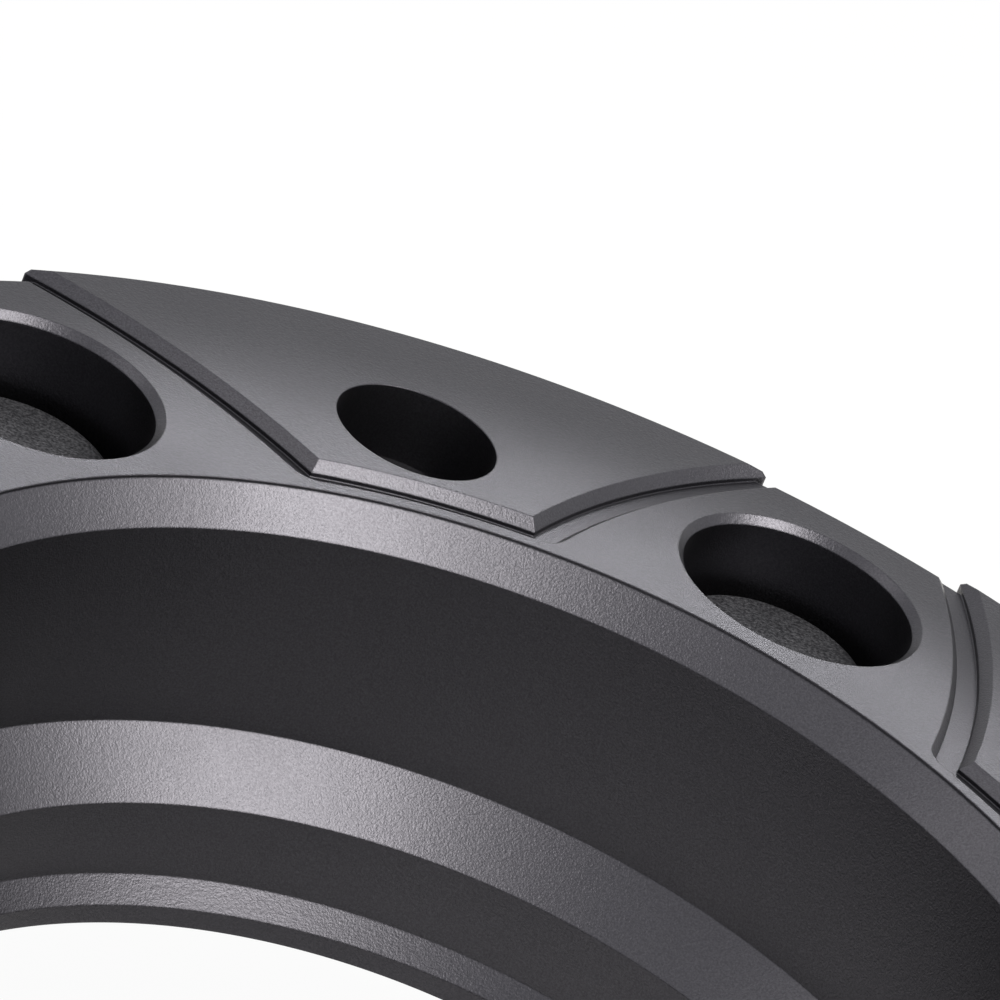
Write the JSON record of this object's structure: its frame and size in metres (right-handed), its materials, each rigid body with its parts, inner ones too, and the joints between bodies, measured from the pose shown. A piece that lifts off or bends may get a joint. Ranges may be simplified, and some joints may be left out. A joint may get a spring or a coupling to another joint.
{
  "type": "wheel spacer",
  "caption": "Thick bolt-on wheel spacer ring with a stepped hub bore, pressed wheel studs, countersunk bolt holes and a milled star on its hub face.",
  "frame": {"origin": "on the ring's axis, at the level of the tips of the six studs, where the part stands", "axes": "+Z along the ring's axis, out of the hub face; +Y towards the first plain bolt hole"},
  "size_m": [0.1766, 0.1766, 0.066],
  "materials": {
    "spacer_body": "bead-blasted and hard-anodised, dark titanium grey, satin",
    "wheel_stud": "forged steel, black phosphate, dull"
  },
  "bodies": {
    "root": {"spacer_body": "spacer_body", "wheel_stud_1": "wheel_stud", "wheel_stud_2": "wheel_stud", "wheel_stud_3": "wheel_stud", "wheel_stud_4": "wheel_stud", "wheel_stud_5": "wheel_stud", "wheel_stud_6": "wheel_stud"}
  },
  "joints": []
}
